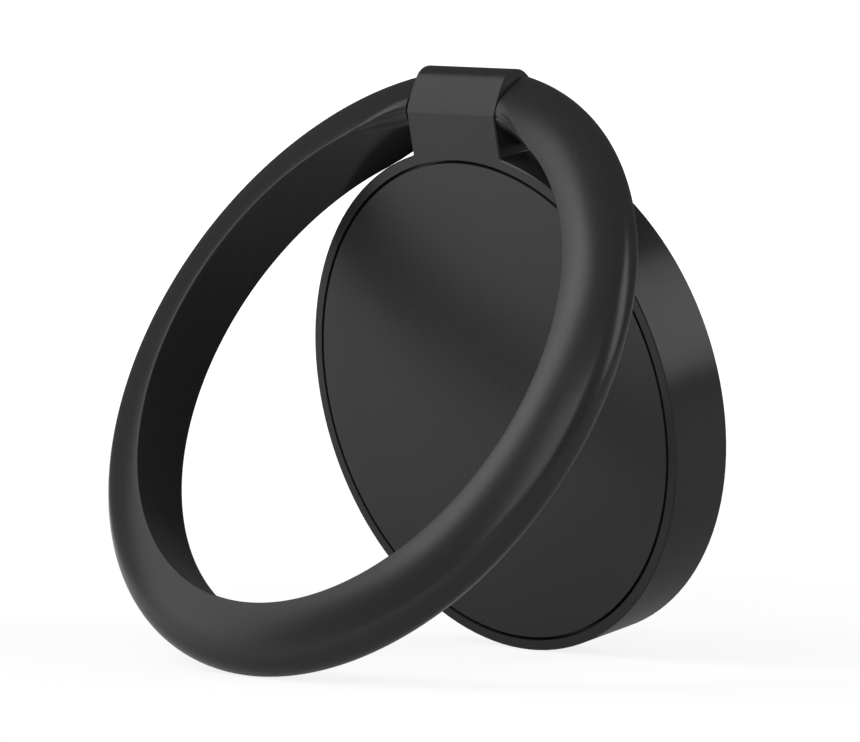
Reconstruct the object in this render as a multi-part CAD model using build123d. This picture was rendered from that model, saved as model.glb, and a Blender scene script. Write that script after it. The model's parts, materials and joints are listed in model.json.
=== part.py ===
from build123d import *
import math
import os

# Phone ring holder: a round housing with a hinge lug, a finger ring of D-shaped section on the hinge, and a
# base plate with an adhesive pad that the housing turns on. Sizes in millimetres.
#
# Each piece is drawn upright: the disc axis along Y, its front face at y = 0 looking along -Y, its centre at
# z = 0, and the hinge axis along X above it. The whole is then leaned forward until it stands on the lower
# edge of the disc and on the opened ring.

# Housing disc
disc_radius = 16.0
rim_width = 0.645  # flat front rim around the cover plate
back_wall = 1.6  # wall around the base plate
rim_edge = 0.07  # chamfer of the outer edges
cover_gap = 0.21  # groove around the cover plate

# Stack along the disc axis, from the front
cover_depth = 0.8
head_gap = 0.1  # air between the cover plate and the peened end of the hub
head_depth = 0.25
retainer_depth = 0.5
spring_stock = 0.2
spring_bow = 0.2
spring_gap = 0.05
web_depth = 0.75
glide_gap = 0.05
glide_depth = 0.2
base_depth = 1.1
base_inset = 0.25  # back of the base plate below the back of the housing
pad_depth = 0.6

# Swivel
hub_radius = 3.0
hub_gap = 0.05
tail_radius = 2.2  # hub end inside the retaining washer
tail_gap = 0.02
head_lip = 0.6  # overhang of the peened end
retainer_land = 2.4  # overhang of the retaining washer past the hub
pocket_gap = 0.4
spring_inset = 0.3  # spring washer inside the edge of the retaining washer
base_gap = 0.25
pad_margin = 0.4
glide_width = 4.0
glide_margin = 1.2  # glide washer inside the edge of the base plate

# Finger ring
ring_gap = 0.86  # air between the disc and the folded ring
ring_band = 3.85  # radial width of the section
ring_width = 4.26  # across the flanks, where they meet the edges of the inner wall
ring_edge = 0.12  # bevel between the inner wall and each flank
ring_nose = 1.3  # radius of the outermost arc of the section
ring_flank = 8.0  # radius of the arcs between the edges and the nose
end_gap = 0.15  # air between the lug and each end
swing_gap = 0.3  # air between the rim and the relieved ends as they swing past it

# Lug and hinge
hinge_set = 1.31  # hinge axis outside the inner wall of the folded ring
lug_width = 7.82
lug_dome = 2.46  # height of the domed top above the flat faces
lug_nose = 1.25
lug_flank = 10.0
lug_root = 0.12  # rounding of the corners between the lug and the rim
pin_radius = 0.9
pin_gap = 0.03  # running fit in the bush
pin_fit = 0.01  # fit in the ring
pin_bite = 1.8  # length of the pin inside each end of the ring
pin_chamfer = 0.15
drill_spare = 0.1  # blind holes are this much deeper than the pin
bush_wall = 0.35
bush_fit = 0.01  # fit in the lug
bush_inset = 0.2
bush_slit = 0.4

# Stance
disc_lean = 11.28  # degrees, top of the disc towards the ring

# Places along the disc axis
head_front = cover_depth + head_gap
head_back = head_front + head_depth
retainer_back = head_back + retainer_depth
web_front = retainer_back + spring_stock + spring_bow + spring_gap
web_back = web_front + web_depth
glide_front = web_back + glide_gap
base_front = glide_front + glide_depth
base_back = base_front + base_depth
pad_back = base_back + pad_depth
disc_depth = base_back + base_inset
hinge_depth = disc_depth / 2

# Radii
recess_radius = disc_radius - rim_width
cover_radius = recess_radius - cover_gap
back_radius = disc_radius - back_wall
base_radius = back_radius - base_gap
pad_radius = base_radius - pad_margin
glide_outer = base_radius - glide_margin
glide_inner = glide_outer - glide_width
retainer_radius = hub_radius + retainer_land
spring_radius = retainer_radius - spring_inset
pocket_radius = retainer_radius + pocket_gap
head_radius = tail_radius + head_lip
bore_radius = hub_radius + hub_gap
bush_radius = pin_radius + pin_gap + bush_wall
ring_inner = disc_radius + ring_gap
ring_outer = ring_inner + ring_band
ring_end = lug_width / 2 + end_gap
ring_side = ring_width / 2
ring_shoulder = ring_inner + ring_edge
hinge_height = ring_inner + hinge_set

# Top of the lug: level with the outside of the folded ring
lug_top = ring_outer
lug_shoulder = lug_top - lug_dome

# Stance: the ring opens until the lower edge of the disc and the nose of the ring touch the same floor
lean = math.radians(disc_lean)
disc_rise = disc_radius * math.cos(lean) - rim_edge * math.sin(lean)
hinge_rise = disc_rise + hinge_height * math.cos(lean) + hinge_depth * math.sin(lean)
ring_lean = math.degrees(math.acos((hinge_rise - ring_nose) / (hinge_height + ring_outer - ring_nose)))
ring_open = disc_lean + ring_lean

hinge_axis = Axis((0, hinge_depth, hinge_height), (1, 0, 0))
disc_axis = Axis((0, 0, 0), (0, 1, 0))
ring_axis = Axis((0, hinge_depth, 0), (0, 1, 0))
section_plane = Plane((0, hinge_depth, 0), x_dir=(0, 1, 0), z_dir=(1, 0, 0))


def turned(*points):
    """Solid turned about the disc axis from a closed outline of (radius, depth) points."""
    return revolve(make_face(Polyline(*points, close=True)), disc_axis)


def disc(radius, front, back):
    """Round plate between two depths."""
    return turned((0, front), (radius, front), (radius, back), (0, back))


def annulus(inner, outer, front, back):
    """Flat washer between two depths."""
    return turned((inner, front), (outer, front), (outer, back), (inner, back))


def cross_rod(radius, half_length):
    """Round bar along the hinge axis, centred on the lug."""
    rod = extrude(Plane.YZ * Circle(radius), half_length, both=True)
    return Pos(0, hinge_depth, hinge_height) * rod


def domed_face(low, foot, top, base, half, nose, flank):
    """Section drawn upright about the Y axis: its sides run from half width base at low to half at foot, then
    two flank arcs run into a nose arc that ends at top."""
    start = Vector(half, foot)
    crown = Vector(0, top - nose)
    reach = start - crown
    along = ((flank - nose) ** 2 - flank**2 + reach.length**2) / (2 * reach.length)
    across = math.sqrt((flank - nose) ** 2 - along**2)
    aim = reach.normalized()
    centre = crown + aim * along + Vector(aim.Y, -aim.X) * across
    join = crown + (crown - centre).normalized() * nose
    middle = centre + ((start - centre) + (join - centre)).normalized() * flank
    right = Line((base, low), start) + ThreePointArc(start, middle, join)
    tip = ThreePointArc(join, (0, top), (-join.X, join.Y))
    return make_face([Line((-base, low), (base, low)), right, tip, mirror(right, Plane.YZ)])


# Housing: disc and lug in one casting, with the recess of the cover plate, the pocket and bore of the hub and
# the recess of the base plate turned out of it
lug_foot = math.sqrt(recess_radius**2 - (lug_width / 2) ** 2)
lug_side = disc_depth / 2
lug_face = domed_face(lug_foot, lug_shoulder, lug_top, lug_side, lug_side, lug_nose, lug_flank)
lug = extrude(section_plane * lug_face, lug_width / 2, both=True)
housing = disc(disc_radius, 0, disc_depth) + lug
corners = housing.edges().filter_by(Axis.Y).filter_by_position(Axis.Z, lug_foot, lug_shoulder, (False, False))
housing = fillet(corners, lug_root)
front_face = housing.faces().sort_by(Axis.Y)[0]
back_face = housing.faces().sort_by(Axis.Y)[-1]
outline = front_face.edges() + back_face.edges()
housing = chamfer(outline.filter_by(Axis.X, reverse=True), rim_edge)
hollow = turned(
    (0, -cover_depth),
    (recess_radius, -cover_depth),
    (recess_radius, cover_depth),
    (pocket_radius, cover_depth),
    (pocket_radius, web_front),
    (bore_radius, web_front),
    (bore_radius, web_back),
    (back_radius, web_back),
    (back_radius, pad_back),
    (0, pad_back),
)
housing -= hollow
housing -= cross_rod(bush_radius + bush_fit, lug_width)

# Cover plate, flush with the rim
cover_plate = disc(cover_radius, 0, cover_depth)

# Base plate with the hub, its end peened over the retaining washer
base_plate = turned(
    (0, head_front),
    (head_radius, head_front),
    (head_radius, head_back),
    (tail_radius, head_back),
    (tail_radius, retainer_back),
    (hub_radius, retainer_back),
    (hub_radius, base_front),
    (base_radius, base_front),
    (base_radius, base_back),
    (0, base_back),
)

# Washers of the swivel
retaining_washer = annulus(tail_radius + tail_gap, retainer_radius, head_back, retainer_back)
glide_washer = annulus(glide_inner, glide_outer, glide_front, base_front)
bow_radius = (spring_radius**2 + spring_bow**2) / (2 * spring_bow)
bow_face = Circle(bow_radius + spring_stock) - Circle(bow_radius)
bow_sheet = Pos(0, retainer_back + spring_stock + bow_radius, 0) * extrude(bow_face, spring_radius, both=True)
spring_washer = bow_sheet & annulus(bore_radius, spring_radius, retainer_back, web_front)

# Adhesive pad on the back of the base plate
adhesive_pad = disc(pad_radius, base_back, pad_back)

# Room that the disc needs when the ring swings about the hinge: a torus about the hinge axis
swept_disc = Rot(0, 90, 0) * Torus(hinge_height, disc_radius + swing_gap)
swept_disc = Pos(0, hinge_depth, hinge_height) * swept_disc

# Finger ring: turned D section, opened beside the lug, the inner corners of its ends relieved to swing past
# the rim, and its ends drilled for the pin
ring_base = ring_side - ring_edge
ring_face = domed_face(ring_inner, ring_shoulder, ring_outer, ring_base, ring_side, ring_nose, ring_flank)
ring = revolve(section_plane * ring_face, ring_axis)
ring -= Pos(0, hinge_depth, ring_outer) * Box(2 * ring_end, 2 * ring_width, 2 * ring_outer)
ring -= swept_disc
ring -= cross_rod(pin_radius + pin_fit, ring_end + pin_bite + drill_spare)

# Hinge pin, and the slit bush that it turns in
hinge_pin = cross_rod(pin_radius, ring_end + pin_bite)
hinge_pin = chamfer(hinge_pin.edges(), pin_chamfer)
bush_half = lug_width / 2 - bush_inset
hinge_bush = cross_rod(bush_radius, bush_half) - cross_rod(pin_radius + pin_gap, lug_width)
slit = Pos(0, hinge_depth, hinge_height - bush_radius) * Box(lug_width, bush_slit, 2 * bush_radius)
hinge_bush -= slit

# The ring and its pin swing open, then everything leans forward on to the floor
ring = ring.rotate(hinge_axis, -ring_open)
hinge_pin = hinge_pin.rotate(hinge_axis, -ring_open)
leaned = Rot(disc_lean, 0, 0)
outside = Compound(children=[leaned * housing, leaned * adhesive_pad, leaned * ring]).bounding_box()
stand = Pos(0, -outside.center().Y, disc_rise) * leaned

nodes = {
    "housing": housing,
    "cover_plate": cover_plate,
    "base_plate": base_plate,
    "retaining_washer": retaining_washer,
    "spring_washer": spring_washer,
    "glide_washer": glide_washer,
    "adhesive_pad": adhesive_pad,
    "ring": ring,
    "hinge_pin": hinge_pin,
    "hinge_bush": hinge_bush,
}
os.makedirs("parts", exist_ok=True)
for name, solid in nodes.items():
    export_step(stand * solid, f"parts/{name}.step")
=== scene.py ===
"""Looks of the phone ring holder: finishes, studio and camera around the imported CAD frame."""

import json
import logging
import math
from dataclasses import dataclass, field
from enum import Enum
from typing import Any

import bmesh
import bpy
from mathutils import Matrix, Vector

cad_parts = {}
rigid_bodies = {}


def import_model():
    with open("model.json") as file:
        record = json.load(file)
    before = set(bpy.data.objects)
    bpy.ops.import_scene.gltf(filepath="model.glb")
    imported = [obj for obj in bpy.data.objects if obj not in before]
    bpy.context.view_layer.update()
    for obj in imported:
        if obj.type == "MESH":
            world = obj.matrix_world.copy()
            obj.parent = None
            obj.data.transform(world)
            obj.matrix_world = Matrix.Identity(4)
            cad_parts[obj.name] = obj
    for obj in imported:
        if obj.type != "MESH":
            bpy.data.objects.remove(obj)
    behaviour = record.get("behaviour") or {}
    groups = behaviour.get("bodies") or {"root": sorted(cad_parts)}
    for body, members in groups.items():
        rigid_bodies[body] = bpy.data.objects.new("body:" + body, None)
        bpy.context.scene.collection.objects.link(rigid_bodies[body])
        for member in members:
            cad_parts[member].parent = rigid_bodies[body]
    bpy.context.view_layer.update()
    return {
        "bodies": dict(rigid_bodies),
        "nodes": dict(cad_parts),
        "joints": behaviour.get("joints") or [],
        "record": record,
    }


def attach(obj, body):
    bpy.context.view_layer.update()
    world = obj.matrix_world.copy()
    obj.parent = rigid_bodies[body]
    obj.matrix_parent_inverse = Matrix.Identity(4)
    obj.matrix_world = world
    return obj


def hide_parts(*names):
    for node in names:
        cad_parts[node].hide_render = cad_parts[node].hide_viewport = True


LOG = logging.getLogger("ring_holder")
MM = 0.001
WHITE = (1.0, 1.0, 1.0, 1.0)


class Slot(Enum):
    """Material slots of the record."""

    BLACK_METAL = "black_metal"
    COVER_METAL = "cover_metal"
    BASE_METAL = "base_metal"
    STEEL = "steel"
    ACETAL = "acetal"
    FOAM_TAPE = "foam_tape"


class NodeSheet:
    """Small helper around a shader node tree."""

    def __init__(self, tree: bpy.types.NodeTree) -> None:
        """Empties the tree.

        Args:
            tree: Node tree of a material or of the world.
        """
        self.tree = tree
        tree.nodes.clear()

    def add(self, kind: str, **values: object) -> bpy.types.Node:
        """Adds a node and sets its properties or input sockets.

        Args:
            kind: Blender's class name of the node.
            values: Property or socket values; a socket's spaces are written as underscores.

        Returns:
            The new node.
        """
        node = self.tree.nodes.new(kind)
        for name, value in values.items():
            if hasattr(node, name):
                setattr(node, name, value)
            else:
                node.inputs[name.replace("_", " ")].default_value = value
        return node

    def link(self, source: bpy.types.NodeSocket, target: bpy.types.NodeSocket) -> None:
        """Joins an output to an input."""
        self.tree.links.new(source, target)

    def ramp(self, start: tuple[float, float], end: tuple[float, float]) -> bpy.types.Node:
        """Adds a clamped ramp.

        Args:
            start: Lowest and highest input.
            end: Output at each of them.

        Returns:
            The ramp.
        """
        return self.add(
            "ShaderNodeMapRange", From_Min=start[0], From_Max=start[1], To_Min=end[0], To_Max=end[1]
        )

    def tones(
        self,
        colour: tuple[float, float, float],
        shares: tuple[float, float],
        stops: tuple[float, float] = (0.0, 1.0),
    ) -> bpy.types.Node:
        """Adds a colour ramp between a darker and a lighter tone of one colour.

        Args:
            colour: Linear colour.
            shares: Brightness of the two tones as shares of the colour.
            stops: Places of the two tones on the ramp.

        Returns:
            The colour ramp.
        """
        node = self.add("ShaderNodeValToRGB")
        for element, share, stop in zip(node.color_ramp.elements, shares, stops):
            element.position = stop
            element.color = (*[share * part for part in colour], 1.0)
        return node


def new_material(name: str) -> tuple[bpy.types.Material, NodeSheet]:
    """Makes a material with an empty node tree.

    Args:
        name: Material name.

    Returns:
        The material and its node tree.
    """
    material = bpy.data.materials.new(name)
    material.use_nodes = True
    return material, NodeSheet(material.node_tree)


@dataclass(frozen=True)
class SatinCoat:
    """Satin black coating on cast or stamped metal, with a fine sprayed grain.

    Attributes:
        name: Material name.
        colour: Linear base colour.
        sheen: Roughness on the smoothest and on the dullest spots.
        grain: Width of one grain in metres.
        depth: Height of the grain in metres.
        cloud: Width of the slow changes of gloss in metres.
        specular: Specular level of the coat.
        grain_share: Share of the grain in the changes of gloss.
        tone_shares: Brightness of the darkest and the lightest grains.
        tone_stops: Levels of the grain at which these are reached.
    """

    name: str
    colour: tuple[float, float, float]
    sheen: tuple[float, float]
    grain: float
    depth: float
    cloud: float
    specular: float
    grain_share: float = 0.35
    tone_shares: tuple[float, float] = (0.88, 1.12)
    tone_stops: tuple[float, float] = (0.3, 0.7)

    def make(self) -> bpy.types.Material:
        """Builds the node material.

        Returns:
            The material.
        """
        material, sheet = new_material(self.name)
        place = sheet.add("ShaderNodeTexCoord")
        fine = sheet.add("ShaderNodeTexNoise", Scale=1.0 / self.grain, Detail=2.0, Roughness=0.55)
        slow = sheet.add("ShaderNodeTexNoise", Scale=1.0 / self.cloud, Detail=3.0, Roughness=0.5)
        blend = sheet.add("ShaderNodeMath", operation="MULTIPLY_ADD")
        blend.inputs[1].default_value = self.grain_share
        gloss = sheet.ramp((self.grain_share, 1.0), self.sheen)
        tone = sheet.tones(self.colour, self.tone_shares, self.tone_stops)
        bump = sheet.add("ShaderNodeBump", Strength=1.0, Distance=self.depth)
        coat = sheet.add("ShaderNodeBsdfPrincipled", Specular_IOR_Level=self.specular)
        out = sheet.add("ShaderNodeOutputMaterial")
        sheet.link(place.outputs["Object"], fine.inputs["Vector"])
        sheet.link(place.outputs["Object"], slow.inputs["Vector"])
        sheet.link(fine.outputs["Fac"], blend.inputs[0])
        sheet.link(slow.outputs["Fac"], blend.inputs[2])
        sheet.link(blend.outputs["Value"], gloss.inputs["Value"])
        sheet.link(fine.outputs["Fac"], tone.inputs["Fac"])
        sheet.link(fine.outputs["Fac"], bump.inputs["Height"])
        sheet.link(tone.outputs["Color"], coat.inputs["Base Color"])
        sheet.link(gloss.outputs["Result"], coat.inputs["Roughness"])
        sheet.link(bump.outputs["Normal"], coat.inputs["Normal"])
        sheet.link(coat.outputs["BSDF"], out.inputs["Surface"])
        return material


@dataclass(frozen=True)
class TurnedSteel:
    """Plain steel with fine drawn lines along the hinge axis.

    Attributes:
        name: Material name.
        colour: Linear base colour.
        sheen: Roughness on the smoothest and on the dullest lines.
        line: Width of one line in metres.
        stretch: Scale of the pattern along each axis.
        line_stops: Levels of the pattern at which the ends of sheen are reached.
        tone_shares: Brightness of the darkest and the lightest lines.
    """

    name: str
    colour: tuple[float, float, float]
    sheen: tuple[float, float]
    line: float
    stretch: tuple[float, float, float] = (0.05, 1.0, 1.0)
    line_stops: tuple[float, float] = (0.3, 0.7)
    tone_shares: tuple[float, float] = (0.9, 1.05)

    def make(self) -> bpy.types.Material:
        """Builds the node material.

        Returns:
            The material.
        """
        material, sheet = new_material(self.name)
        place = sheet.add("ShaderNodeTexCoord")
        stretch = sheet.add("ShaderNodeMapping", Scale=self.stretch)
        lines = sheet.add("ShaderNodeTexNoise", Scale=1.0 / self.line, Detail=3.0)
        gloss = sheet.ramp(self.line_stops, self.sheen)
        tone = sheet.tones(self.colour, self.tone_shares)
        steel = sheet.add("ShaderNodeBsdfPrincipled", Metallic=1.0)
        out = sheet.add("ShaderNodeOutputMaterial")
        sheet.link(place.outputs["Object"], stretch.inputs["Vector"])
        sheet.link(stretch.outputs["Vector"], lines.inputs["Vector"])
        sheet.link(lines.outputs["Fac"], gloss.inputs["Value"])
        sheet.link(lines.outputs["Fac"], tone.inputs["Fac"])
        sheet.link(tone.outputs["Color"], steel.inputs["Base Color"])
        sheet.link(gloss.outputs["Result"], steel.inputs["Roughness"])
        sheet.link(steel.outputs["BSDF"], out.inputs["Surface"])
        return material


@dataclass(frozen=True)
class SoftSolid:
    """Dull plastic or foam: a speckled colour and a pitted surface.

    Attributes:
        name: Material name.
        colour: Linear base colour.
        roughness: Roughness of the surface.
        cell: Width of one cell or grain in metres.
        depth: Depth of the cells in metres.
        pits: Strength of the pitting.
        tone_shares: Brightness in the middle and at the edge of a cell.
    """

    name: str
    colour: tuple[float, float, float]
    roughness: float
    cell: float
    depth: float
    pits: float = 0.8
    tone_shares: tuple[float, float] = (0.8, 1.1)

    def make(self) -> bpy.types.Material:
        """Builds the node material.

        Returns:
            The material.
        """
        material, sheet = new_material(self.name)
        place = sheet.add("ShaderNodeTexCoord")
        cells = sheet.add("ShaderNodeTexVoronoi", Scale=1.0 / self.cell)
        tone = sheet.tones(self.colour, self.tone_shares)
        bump = sheet.add("ShaderNodeBump", Strength=self.pits, Distance=self.depth)
        solid = sheet.add("ShaderNodeBsdfPrincipled", Roughness=self.roughness)
        out = sheet.add("ShaderNodeOutputMaterial")
        sheet.link(place.outputs["Object"], cells.inputs["Vector"])
        sheet.link(cells.outputs["Distance"], tone.inputs["Fac"])
        sheet.link(cells.outputs["Distance"], bump.inputs["Height"])
        sheet.link(tone.outputs["Color"], solid.inputs["Base Color"])
        sheet.link(bump.outputs["Normal"], solid.inputs["Normal"])
        sheet.link(solid.outputs["BSDF"], out.inputs["Surface"])
        return material


@dataclass
class Finishes:
    """One material for each slot of the record."""

    coat: SatinCoat = SatinCoat(
        name="satin_black",
        colour=(0.0245, 0.0245, 0.025),
        sheen=(0.23, 0.29),
        grain=0.08 * MM,
        depth=0.0012 * MM,
        cloud=6.0 * MM,
        specular=0.27,
    )
    cover: SatinCoat = SatinCoat(
        name="cover_black",
        colour=(0.0245, 0.0245, 0.025),
        sheen=(0.25, 0.31),
        grain=0.07 * MM,
        depth=0.0012 * MM,
        cloud=8.0 * MM,
        specular=0.34,
    )
    base: SatinCoat = SatinCoat(
        name="base_black",
        colour=(0.02, 0.02, 0.021),
        sheen=(0.4, 0.5),
        grain=0.12 * MM,
        depth=0.004 * MM,
        cloud=5.0 * MM,
        specular=0.3,
    )
    steel: TurnedSteel = TurnedSteel("bright_steel", (0.55, 0.55, 0.56), sheen=(0.22, 0.38), line=0.06 * MM)
    acetal: SoftSolid = SoftSolid(
        "natural_acetal", (0.8, 0.8, 0.78), roughness=0.4, cell=0.2 * MM, depth=0.003 * MM
    )
    foam: SoftSolid = SoftSolid(
        "foam_tape", (0.03, 0.03, 0.032), roughness=0.75, cell=0.3 * MM, depth=0.03 * MM
    )
    made: dict[Slot, bpy.types.Material] = field(default_factory=dict)

    def build(self) -> None:
        """Makes the materials."""
        self.made = {
            Slot.BLACK_METAL: self.coat.make(),
            Slot.COVER_METAL: self.cover.make(),
            Slot.BASE_METAL: self.base.make(),
            Slot.STEEL: self.steel.make(),
            Slot.ACETAL: self.acetal.make(),
            Slot.FOAM_TAPE: self.foam.make(),
        }

    def wear(self, piece: bpy.types.Object, slot: Slot) -> None:
        """Puts a slot's material on a piece.

        Args:
            piece: CAD node or new piece.
            slot: Slot whose material it wears.
        """
        if not piece.material_slots:
            piece.data.materials.append(self.made[slot])
        for holder in piece.material_slots:
            holder.material = self.made[slot]
        LOG.info("%s wears %s", piece.name, self.made[slot].name)


@dataclass
class SubAssembly:
    """CAD nodes that are shown as they are, each with the slot that it wears."""

    slots: dict[str, Slot]

    def dress(self, nodes: dict[str, bpy.types.Object], finishes: Finishes) -> None:
        """Gives each node its finish.

        Args:
            nodes: CAD nodes by name.
            finishes: The holder's materials.
        """
        for name, slot in self.slots.items():
            finishes.wear(nodes[name], slot)


@dataclass
class SwivelHousing(SubAssembly):
    """Round housing with its hinge lug, the cover plate and the bush of the hinge."""

    slots: dict[str, Slot] = field(
        default_factory=lambda: {
            "housing": Slot.BLACK_METAL,
            "cover_plate": Slot.COVER_METAL,
            "hinge_bush": Slot.ACETAL,
        }
    )


@dataclass
class SwivelBase(SubAssembly):
    """Base plate with its washers and the adhesive pad."""

    slots: dict[str, Slot] = field(
        default_factory=lambda: {
            "base_plate": Slot.BASE_METAL,
            "retaining_washer": Slot.STEEL,
            "spring_washer": Slot.STEEL,
            "glide_washer": Slot.ACETAL,
            "adhesive_pad": Slot.FOAM_TAPE,
        }
    )


@dataclass
class FingerRing:
    """Finger ring with rounded knuckles, and the pin pressed into its ends.

    Sizes are in millimetres on the folded ring: its axis along Y, its middle at the origin and the hinge at
    its top.

    Attributes:
        inner: Radius of the flat inner wall.
        outer: Radius over the nose of the section.
        half: Half the width across the flanks.
        shoulder: Height of the upright foot of each flank.
        nose: Radius of the outermost arc of the section.
        flank: Radius of the arcs between the feet and the nose.
        hinge: Height of the hinge axis above the middle.
        end: Distance of each end face from the middle plane.
        edge: Rounding of the inner edges.
        edge_near: Greatest distance of a vertex from an inner edge that it counts to.
        edge_steps: Divisions of that rounding.
        knuckle: Rounding of the inner edges at the end faces.
        fade: Length over which the rounding of a knuckle fades out.
        sweep: Radius of the room that the disc needs as the ring swings.
        first: Angle in degrees from the top at which the turning of the section starts.
        fine: Angle in degrees of the finely divided stretch at each end.
        fine_steps: Divisions of each of these stretches.
        long_steps: Divisions of the stretch between them.
        flank_steps: Divisions of a flank arc.
        nose_steps: Divisions of the nose arc.
        wall_cuts: Cuts across the inner wall.
    """

    inner: float = 16.86
    outer: float = 20.7
    half: float = 2.13
    shoulder: float = 0.12
    nose: float = 1.3
    flank: float = 8.0
    hinge: float = 18.17
    end: float = 4.06
    edge: float = 0.14
    edge_near: float = 0.02
    edge_steps: int = 3
    knuckle: float = 1.1
    fade: float = 4.5
    sweep: float = 16.3
    first: float = 10.0
    fine: float = 16.0
    fine_steps: int = 48
    long_steps: int = 200
    flank_steps: int = 22
    nose_steps: int = 16
    wall_cuts: int = 24

    def arcs(self) -> tuple[Vector, Vector, Vector, Vector]:
        """Finds the arcs of the D section on its +Y side.

        Returns:
            Start of the flank, centre of the flank, joint of flank and nose, centre of the nose.
        """
        start = Vector((0.0, self.half, self.inner + self.shoulder))
        crown = Vector((0.0, 0.0, self.outer - self.nose))
        reach = start - crown
        apart = self.flank - self.nose
        along = (apart**2 - self.flank**2 + reach.length**2) / (2.0 * reach.length)
        across = math.sqrt(apart**2 - along**2)
        aim = reach.normalized()
        centre = crown + aim * along + Vector((0.0, aim.z, -aim.y)) * across
        join = crown + (crown - centre).normalized() * self.nose
        return start, centre, join, crown

    def draw_section(self, shape: bmesh.types.BMesh) -> list[bmesh.types.BMEdge]:
        """Draws the closed D section at the top of the ring.

        Args:
            shape: Empty mesh.

        Returns:
            The edges of the section.
        """
        start, centre, join, crown = self.arcs()
        bend = (start - centre).angle(join - centre)
        turn = 2.0 * (join - crown).angle(Vector((0.0, 0.0, 1.0)))
        mirrored = Vector((0.0, -centre.y, centre.z))
        corners = [shape.verts.new((0.0, side * self.half, self.inner)) for side in (1.0, -1.0)]
        tip = shape.verts.new(start)
        shape.edges.new((corners[0], tip))
        for hub, angle, steps in (
            (centre, bend, self.flank_steps),
            (crown, turn, self.nose_steps),
            (mirrored, bend, self.flank_steps),
        ):
            spun = bmesh.ops.spin(shape, geom=[tip], cent=hub, axis=(1.0, 0.0, 0.0), angle=angle, steps=steps)
            tip = next(item for item in spun["geom_last"] if isinstance(item, bmesh.types.BMVert))
        shape.edges.new((tip, corners[1]))
        wall = shape.edges.new((corners[1], corners[0]))
        bmesh.ops.subdivide_edges(shape, edges=[wall], cuts=self.wall_cuts)
        return list(shape.edges)

    def turn_section(self, shape: bmesh.types.BMesh) -> None:
        """Turns the section about the axis of the ring, from one side of the lug to the other.

        Args:
            shape: Mesh with the section alone.
        """
        last = self.draw_section(shape)
        axis = Vector((0.0, 1.0, 0.0))
        middle = Vector()
        tilt = Matrix.Rotation(math.radians(self.first), 3, axis)
        bmesh.ops.rotate(shape, verts=shape.verts, cent=middle, matrix=tilt)
        long_way = 360.0 - 2.0 * (self.first + self.fine)
        for angle, steps in (
            (self.fine, self.fine_steps),
            (long_way, self.long_steps),
            (self.fine, self.fine_steps),
        ):
            spun = bmesh.ops.spin(
                shape, geom=last, cent=middle, axis=axis, angle=math.radians(angle), steps=steps
            )
            last = [item for item in spun["geom_last"] if isinstance(item, bmesh.types.BMEdge)]

    def cut_end(self, shape: bmesh.types.BMesh, side: float) -> None:
        """Cuts one end flat beside the lug and closes it.

        Args:
            shape: Mesh of the ring.
            side: 1 for the end on +X, -1 for the other.
        """
        geom = {}
        for face in shape.faces:
            middle = face.calc_center_median()
            if middle.z > 0.0 and side * middle.x > 0.0:
                geom.update(dict.fromkeys((face, *face.edges, *face.verts)))
        bmesh.ops.bisect_plane(
            shape,
            geom=list(geom),
            plane_co=(side * self.end, 0.0, 0.0),
            plane_no=(side, 0.0, 0.0),
            clear_inner=True,
        )
        rim = [item for item in shape.edges if item.is_boundary and side * item.verts[0].co.x > 0.0]
        bmesh.ops.contextual_create(shape, geom=rim)
        for item in rim:
            item.smooth = False

    def on_edge(self, vert: bmesh.types.BMVert) -> bool:
        """Tells whether a vertex lies on an inner edge of the turned section."""
        place = Vector((abs(vert.co.y), math.hypot(vert.co.x, vert.co.z)))
        return (place - Vector((self.half, self.inner))).length < self.edge_near

    def rounding(self, reach: float) -> float:
        """Gives the rounding of the inner edges at a distance from an end face."""
        share = min(max(reach / self.fade, 0.0), 1.0)
        return self.knuckle * (1.0 - share * share * (3.0 - 2.0 * share))

    def round_knuckle(self, vert: bmesh.types.BMVert, centre: Vector) -> None:
        """Moves one vertex of the upper half on to the rounded knuckle.

        Args:
            vert: Vertex to move.
            centre: Centre of the flank arc.
        """
        radius = self.rounding(abs(vert.co.x) - self.end)
        if radius <= 0.0:
            return
        rise = self.inner + radius
        hub = centre.y + math.sqrt((self.flank - radius) ** 2 - (rise - centre.z) ** 2)
        out = abs(vert.co.y) - hub
        up = math.hypot(vert.co.x, vert.co.z) - rise
        lean = math.atan2(rise - centre.z, hub - centre.y)
        if -0.5 * math.pi <= math.atan2(up, out) <= lean:
            scale = radius / math.hypot(out, up)
            vert.co.y = math.copysign(hub + out * scale, vert.co.y)
            vert.co.z = math.sqrt((rise + up * scale) ** 2 - vert.co.x**2)

    def relieve(self, vert: bmesh.types.BMVert) -> None:
        """Moves one vertex of the upper half out of the room that the disc sweeps about the hinge.

        Args:
            vert: Vertex to move.
        """
        if abs(vert.co.x) >= self.sweep:
            return
        limit = self.hinge - math.sqrt(self.sweep**2 - vert.co.x**2)
        far = math.hypot(vert.co.y, vert.co.z - self.hinge)
        if far > limit and vert.co.z < self.hinge:
            vert.co.y *= limit / far
            vert.co.z = self.hinge + (vert.co.z - self.hinge) * limit / far

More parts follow.
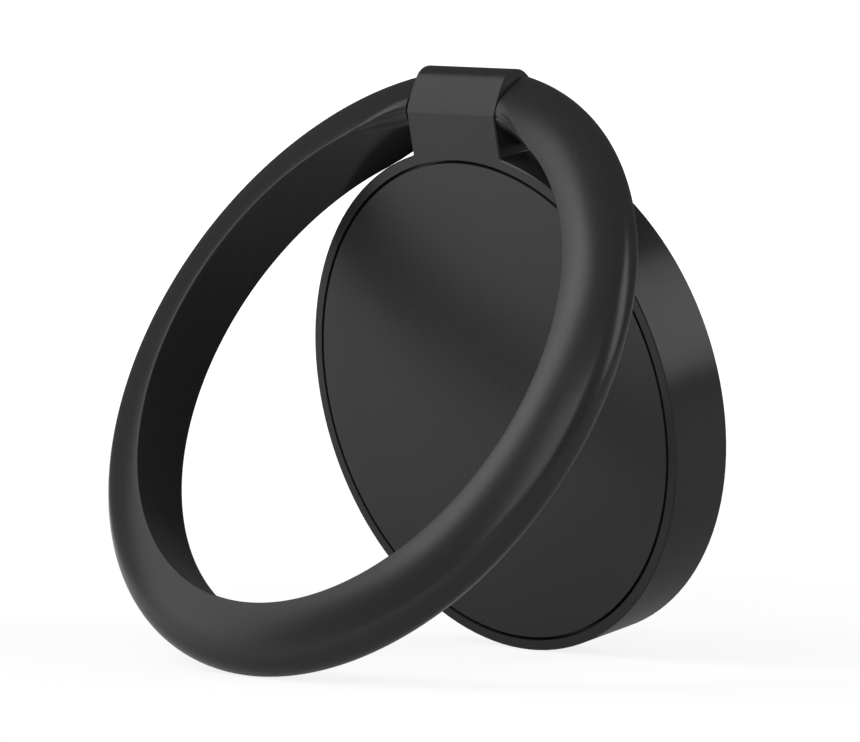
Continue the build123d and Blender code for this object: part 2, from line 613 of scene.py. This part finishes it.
    def build(self, stand: Matrix) -> bpy.types.Object:
        """Models the ring.

        Args:
            stand: Place of the folded ring's millimetres in the opened holder.

        Returns:
            The ring.
        """
        shape = bmesh.new()
        self.turn_section(shape)
        for side in (-1.0, 1.0):
            self.cut_end(shape, side)
        sharp = [item for item in shape.edges if all(self.on_edge(vert) for vert in item.verts)]
        _, centre, _, _ = self.arcs()
        for vert in shape.verts:
            if vert.co.z > 0.0:
                self.round_knuckle(vert, centre)
                self.relieve(vert)
        bmesh.ops.bevel(
            shape,
            geom=sharp,
            offset=self.edge,
            segments=self.edge_steps,
            profile=0.5,
            affect="EDGES",
            material=-1,
            clamp_overlap=True,
        )
        bmesh.ops.recalc_face_normals(shape, faces=shape.faces)
        bmesh.ops.transform(shape, matrix=stand, verts=shape.verts)
        for face in shape.faces:
            face.smooth = True
        mesh = bpy.data.meshes.new("finger_ring")
        shape.to_mesh(mesh)
        shape.free()
        ring = bpy.data.objects.new("finger_ring", mesh)
        bpy.context.scene.collection.objects.link(ring)
        return ring

    def dress(self, frame: dict[str, Any], finishes: Finishes) -> None:
        """Builds the ring in its place and gives ring and pin their finish.

        Args:
            frame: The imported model.
            finishes: The holder's materials.
        """
        joints = {joint["name"]: joint for joint in frame["record"]["behaviour"]["joints"]}
        hinge = joints["ring_hinge"]
        lean = math.asin(-joints["swivel"]["axis"][2])
        opened = math.radians(-hinge["range_deg"][0])
        turn = Matrix.Rotation(lean - opened, 4, "X")
        stand = Matrix.Translation(hinge["pos_m"]) @ turn @ Matrix.Scale(MM, 4)
        ring = self.build(stand @ Matrix.Translation((0.0, 0.0, -self.hinge)))
        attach(ring, "ring")
        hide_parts("ring")
        finishes.wear(ring, Slot.BLACK_METAL)
        finishes.wear(frame["nodes"]["hinge_pin"], Slot.STEEL)


@dataclass(frozen=True)
class SoftBox:
    """One soft studio lamp that faces the holder, hidden from the camera.

    Attributes:
        name: Lamp name.
        azimuth: Direction from the holder in degrees, from +X towards +Y.
        elevation: Height in degrees above the horizon.
        wide: Width in degrees, seen from the holder.
        tall: Height in degrees, seen from the holder.
        bright: Radiance, where 1 is a white surface.
        distance: Distance in metres.
        aim: Point that it faces, in metres.
    """

    name: str
    azimuth: float
    elevation: float
    wide: float
    tall: float
    bright: float
    distance: float = 0.7
    aim: tuple[float, float, float] = (0.0, 0.0, 0.017)

    def span(self, angle: float) -> float:
        """Gives the size of the lamp that fills an angle in degrees."""
        return 2.0 * self.distance * math.tan(math.radians(0.5 * angle))

    def place(self) -> None:
        """Makes the lamp."""
        lamp = bpy.data.lights.new(self.name, "AREA")
        lamp.shape = "RECTANGLE"
        lamp.size = self.span(self.wide)
        lamp.size_y = self.span(self.tall)
        lamp.energy = math.pi * self.bright * lamp.size * lamp.size_y
        holder = bpy.data.objects.new(self.name, lamp)
        bpy.context.scene.collection.objects.link(holder)
        rise = math.radians(self.elevation)
        turn = math.radians(self.azimuth)
        level = math.cos(rise)
        away = Vector((level * math.cos(turn), level * math.sin(turn), math.sin(rise)))
        holder.location = Vector(self.aim) + away * self.distance
        holder.rotation_mode = "QUATERNION"
        holder.rotation_quaternion = away.to_track_quat("Z", "Y")
        holder.visible_camera = False


@dataclass
class Studio:
    """White floor, soft lamps and a plain world.

    Attributes:
        floor_half: Half width of the floor in metres.
        floor_colour: Colour of the floor as the lamps light it.
        floor_white: Strength of the white that the camera sees on the floor.
        floor_seen: Share of that white under the holder and far from it.
        floor_near: Distances in metres between which that share rises.
        floor_painted_glow: Share of white glow painted on the floor for reflections alone, at its bright end:
            a painted pool of light.
        painted_glow_span: Places in metres, along painted_glow_way, between which that painted glow rises
            from 0.
        painted_glow_way: Level direction in which the painted pool of light grows.
        world_level: Strength of the world as light.
        world_gloss: Strength of the world in reflections.
        lamps: Soft lamps.
    """

    floor_half: float = 4.0
    floor_colour: tuple[float, float, float, float] = (0.6, 0.6, 0.6, 1.0)
    floor_white: float = 1.25
    floor_seen: tuple[float, float] = (0.68, 1.0)
    floor_near: tuple[float, float] = (0.05, 0.3)
    # The next three values paint a pool of light on the floor that only reflections see.
    floor_painted_glow: float = 0.9
    painted_glow_span: tuple[float, float] = (-0.02, 0.1)
    painted_glow_way: tuple[float, float, float] = (-0.77, -0.64, 0.0)
    world_level: float = 0.3
    world_gloss: float = 0.08
    lamps: tuple[SoftBox, ...] = (
        SoftBox("key_box", azimuth=-121.0, elevation=41.0, wide=15.0, tall=36.0, bright=4.4),
        SoftBox("key_wing", azimuth=-146.0, elevation=53.0, wide=16.0, tall=14.0, bright=2.6),
        SoftBox("low_box", azimuth=-146.0, elevation=22.0, wide=28.0, tall=43.0, bright=1.5),
        SoftBox("front_box", azimuth=-62.0, elevation=27.0, wide=38.0, tall=34.0, bright=2.2),
        SoftBox("right_box", azimuth=32.0, elevation=28.0, wide=26.0, tall=40.0, bright=3.1),
    )

    def build(self) -> None:
        """Makes the floor, the world and the lamps."""
        self.build_floor()
        self.build_world()
        for lamp in self.lamps:
            lamp.place()
            LOG.info("lamp %s", lamp.name)

    @staticmethod
    def seen_clear(sheet: NodeSheet, path: bpy.types.Node) -> bpy.types.NodeSocket:
        """Adds the switch for rays from the camera or through glass.

        Args:
            sheet: Node tree that gets the switch.
            path: Its Light Path node.

        Returns:
            Socket that is 1 for those rays.
        """
        clear = sheet.add("ShaderNodeMath", operation="MAXIMUM")
        sheet.link(path.outputs["Is Camera Ray"], clear.inputs[0])
        sheet.link(path.outputs["Is Transmission Ray"], clear.inputs[1])
        return clear.outputs["Value"]

    def floor_share(self, sheet: NodeSheet) -> bpy.types.NodeSocket:
        """Adds the share of plain white in what a ray sees of the floor, where glossy rays see a painted pool
        of light that grows towards one end.

        Args:
            sheet: Node tree of the floor.

        Returns:
            Socket with the share, 0 for rays that carry light.
        """
        path = sheet.add("ShaderNodeLightPath")
        place = sheet.add("ShaderNodeTexCoord")
        away = sheet.add("ShaderNodeVectorMath", operation="LENGTH")
        along = sheet.add("ShaderNodeVectorMath", operation="DOT_PRODUCT")
        along.inputs[1].default_value = self.painted_glow_way
        near = sheet.ramp(self.floor_near, self.floor_seen)
        # Painted pool of light: glossy rays see plain white on the floor, rising towards one end (-X, -Y), in
        # place of lamp light falling there.
        slope = sheet.ramp(self.painted_glow_span, (0.0, self.floor_painted_glow))
        seen = sheet.add("ShaderNodeMath", operation="MULTIPLY")
        glossy = sheet.add("ShaderNodeMath", operation="MULTIPLY")
        share = sheet.add("ShaderNodeMath", operation="MAXIMUM")
        sheet.link(place.outputs["Object"], away.inputs[0])
        sheet.link(place.outputs["Object"], along.inputs[0])
        sheet.link(away.outputs["Value"], near.inputs["Value"])
        sheet.link(along.outputs["Value"], slope.inputs["Value"])
        sheet.link(self.seen_clear(sheet, path), seen.inputs[0])
        sheet.link(near.outputs["Result"], seen.inputs[1])
        sheet.link(path.outputs["Is Glossy Ray"], glossy.inputs[0])
        sheet.link(slope.outputs["Result"], glossy.inputs[1])
        sheet.link(seen.outputs["Value"], share.inputs[0])
        sheet.link(glossy.outputs["Value"], share.inputs[1])
        return share.outputs["Value"]

    def build_floor(self) -> None:
        """Makes the white floor, which keeps the holder's shadow and shows a painted pool of light in
        reflections.
        """
        mesh = bpy.data.meshes.new("floor")
        shape = bmesh.new()
        bmesh.ops.create_grid(shape, x_segments=1, y_segments=1, size=self.floor_half)
        shape.to_mesh(mesh)
        shape.free()
        floor = bpy.data.objects.new("floor", mesh)
        bpy.context.scene.collection.objects.link(floor)
        material, sheet = new_material("white_floor")
        matt = sheet.add("ShaderNodeBsdfDiffuse", Color=self.floor_colour)
        white = sheet.add("ShaderNodeEmission", Strength=self.floor_white)
        mix = sheet.add("ShaderNodeMixShader")
        out = sheet.add("ShaderNodeOutputMaterial")
        sheet.link(self.floor_share(sheet), mix.inputs["Fac"])
        sheet.link(matt.outputs["BSDF"], mix.inputs[1])
        sheet.link(white.outputs["Emission"], mix.inputs[2])
        sheet.link(mix.outputs["Shader"], out.inputs["Surface"])
        mesh.materials.append(material)

    def build_world(self) -> None:
        """Makes the plain world: white where it is seen, dimmer as light and in reflections."""
        world = bpy.data.worlds.new("studio")
        world.use_nodes = True
        bpy.context.scene.world = world
        sheet = NodeSheet(world.node_tree)
        path = sheet.add("ShaderNodeLightPath")
        light = sheet.add("ShaderNodeBackground", Color=WHITE, Strength=self.world_level)
        sheen = sheet.add("ShaderNodeBackground", Color=WHITE, Strength=self.world_gloss)
        white = sheet.add("ShaderNodeBackground", Color=WHITE, Strength=1.0)
        lit = sheet.add("ShaderNodeMixShader")
        mix = sheet.add("ShaderNodeMixShader")
        out = sheet.add("ShaderNodeOutputWorld")
        sheet.link(path.outputs["Is Glossy Ray"], lit.inputs["Fac"])
        sheet.link(light.outputs["Background"], lit.inputs[1])
        sheet.link(sheen.outputs["Background"], lit.inputs[2])
        sheet.link(self.seen_clear(sheet, path), mix.inputs["Fac"])
        sheet.link(lit.outputs["Shader"], mix.inputs[1])
        sheet.link(white.outputs["Background"], mix.inputs[2])
        sheet.link(mix.outputs["Shader"], out.inputs["Surface"])


@dataclass
class PhotoCamera:
    """Camera at the photograph's viewing angle.

    Attributes:
        place: Place of the lens in metres.
        azimuth: Heading in degrees, from +Y towards -X.
        elevation: Downward tilt in degrees.
        roll: Turn about the line of sight in degrees.
        lens: Focal length in millimetres.
        sensor: Sensor width in millimetres.
        clip: Nearest and farthest distance that is drawn, in metres.
    """

    place: tuple[float, float, float] = (0.41952, -0.38819, 0.05872)
    azimuth: float = 47.098
    elevation: float = 4.085
    roll: float = -0.013
    lens: float = 390.3
    sensor: float = 36.0
    clip: tuple[float, float] = (0.01, 20.0)

    def build(self) -> None:
        """Makes the camera and looks through it."""
        data = bpy.data.cameras.new("photo_camera")
        data.sensor_width = self.sensor
        data.lens = self.lens
        data.clip_start, data.clip_end = self.clip
        camera = bpy.data.objects.new("photo_camera", data)
        bpy.context.scene.collection.objects.link(camera)
        turn = Matrix.Rotation(math.radians(self.azimuth), 4, "Z")
        tilt = Matrix.Rotation(math.radians(90.0 - self.elevation), 4, "X")
        roll = Matrix.Rotation(math.radians(self.roll), 4, "Z")
        camera.matrix_world = Matrix.Translation(self.place) @ turn @ tilt @ roll
        bpy.context.scene.camera = camera


def main() -> None:
    """Builds the holder's looks and the studio around the frame."""
    logging.basicConfig(level=logging.INFO, format="%(name)s: %(message)s")
    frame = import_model()
    finishes = Finishes()
    finishes.build()
    for assembly in (SwivelHousing(), SwivelBase()):
        assembly.dress(frame["nodes"], finishes)
    FingerRing().dress(frame, finishes)
    Studio().build()
    PhotoCamera().build()
    bpy.context.scene.view_settings.view_transform = "Standard"


if __name__ == "__main__":
    main()
